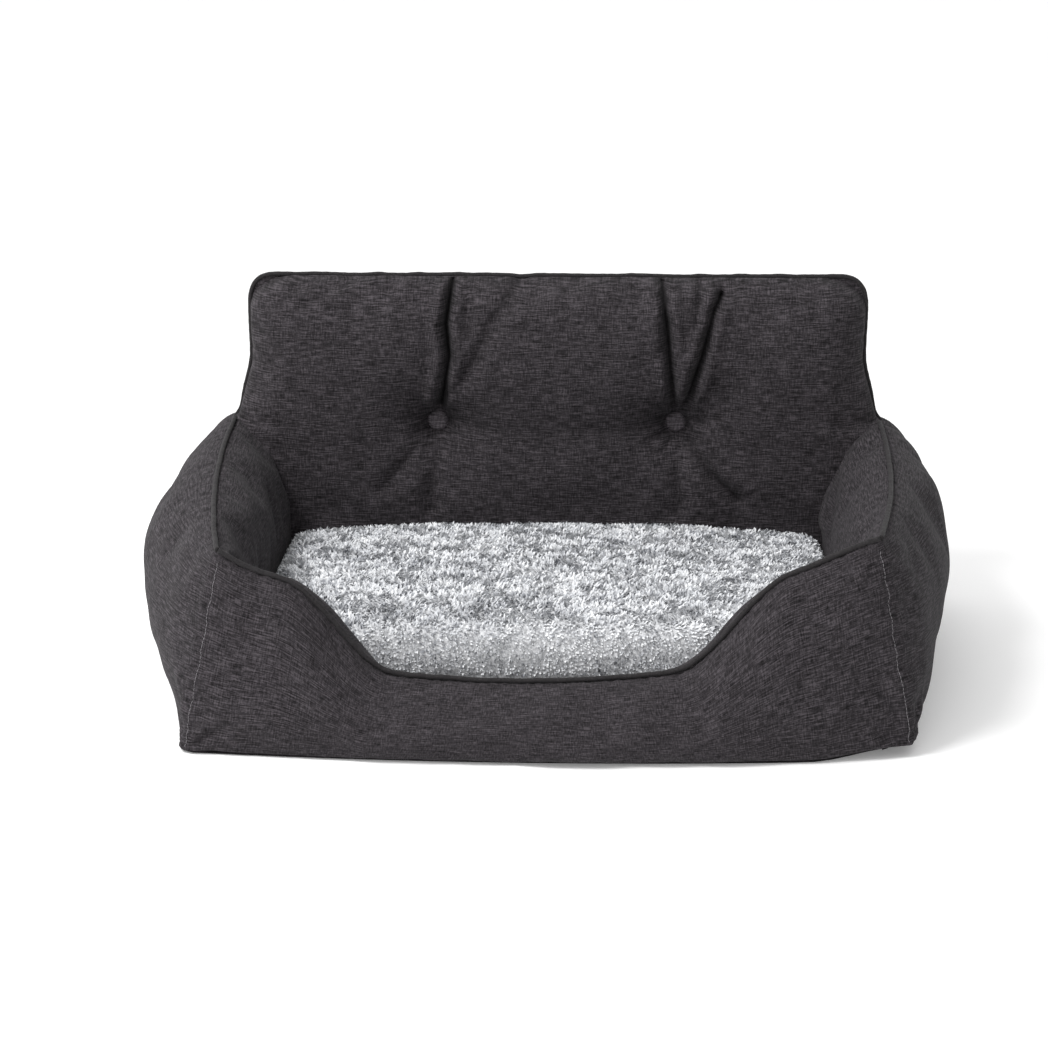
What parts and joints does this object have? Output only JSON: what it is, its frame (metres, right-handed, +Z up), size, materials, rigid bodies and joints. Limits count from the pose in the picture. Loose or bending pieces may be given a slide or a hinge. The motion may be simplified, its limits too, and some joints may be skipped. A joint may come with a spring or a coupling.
{
  "type": "sofa-style dog bed",
  "caption": "Upholstered pet sofa: stuffed surround with a low front entry, swelling arms, a tall tufted back with covered buttons, and a lift-out fleece cushion",
  "frame": {"origin": "on the floor under the middle of the bed", "axes": "+X the bed's right seen from the front, +Y towards its back, +Z up"},
  "size_m": [0.9164, 0.6108, 0.4134],
  "materials": {
    "woven_fabric": "charcoal marled weave with fine sideways slubs",
    "piping_fabric": "near-black piping",
    "mottled_fleece": "short silver fleece mottled with dark grey",
    "base_fabric": "plain dark hard-wearing fabric",
    "fibre_fill": "white polyester fibre",
    "board_plastic": "matt hollow board",
    "trim_plastic": "matt moulded plastic",
    "tuft_twine": "waxed twine",
    "zip_tape": "woven tape",
    "zip_coil": "nylon coil",
    "zip_metal": "black lacquered"
  },
  "bodies": {
    "surround": {"base_panel": "base_fabric", "front_outer_panel": "woven_fabric", "front_inner_panel": "woven_fabric", "front_fill": "fibre_fill", "right_outer_panel": "woven_fabric", "right_inner_panel": "woven_fabric", "right_fill": "fibre_fill", "left_outer_panel": "woven_fabric", "left_inner_panel": "woven_fabric", "left_fill": "fibre_fill", "back_front_panel": "woven_fabric", "back_rear_panel": "woven_fabric", "back_fill": "fibre_fill", "back_board": "board_plastic", "front_rim_piping": "piping_fabric", "right_arm_piping": "piping_fabric", "left_arm_piping": "piping_fabric", "back_piping": "piping_fabric", "tuft_button_right": "woven_fabric", "tuft_button_left": "woven_fabric", "tuft_button_backs": "trim_plastic", "tuft_cords": "tuft_twine", "tuft_anchors": "trim_plastic", "rear_zip_tapes": "zip_tape", "rear_zip_chain": "zip_coil", "rear_zip_stops": "zip_metal"},
    "cushion": {"cushion_top_panel": "mottled_fleece", "cushion_bottom_panel": "base_fabric", "cushion_fill": "fibre_fill", "cushion_zip_tapes": "zip_tape", "cushion_zip_chain": "zip_coil", "cushion_zip_stops": "zip_metal"},
    "rear_zip_slider_body": {"rear_zip_slider": "zip_metal"},
    "rear_zip_pull_body": {"rear_zip_pull": "zip_metal"},
    "cushion_zip_slider_body": {"cushion_zip_slider": "zip_metal"},
    "cushion_zip_pull_body": {"cushion_zip_pull": "zip_metal"}
  },
  "joints": [
    {"name": "cushion_lift", "type": "slide", "parent": "surround", "child": "cushion", "axis": [0, 0, 1], "range_m": [0, 0.45]},
    {"name": "rear_zip_slide", "type": "slide", "parent": "surround", "child": "rear_zip_slider_body", "axis": [1, 0, 0], "range_m": [0, 0.4604]},
    {"name": "rear_zip_pull_turn", "type": "hinge", "parent": "rear_zip_slider_body", "child": "rear_zip_pull_body", "pos_m": [-0.2306, 0.3015, 0.034], "axis": [0, 0, 1], "range_deg": [0, 170]},
    {"name": "cushion_zip_slide", "type": "slide", "parent": "cushion", "child": "cushion_zip_slider_body", "axis": [1, 0, 0], "range_m": [0, 0.4204]},
    {"name": "cushion_zip_pull_turn", "type": "hinge", "parent": "cushion_zip_slider_body", "child": "cushion_zip_pull_body", "pos_m": [-0.2106, 0.2006, 0.0157], "axis": [0, 0.7071, 0.7071], "range_deg": [-80, 80]}
  ]
}
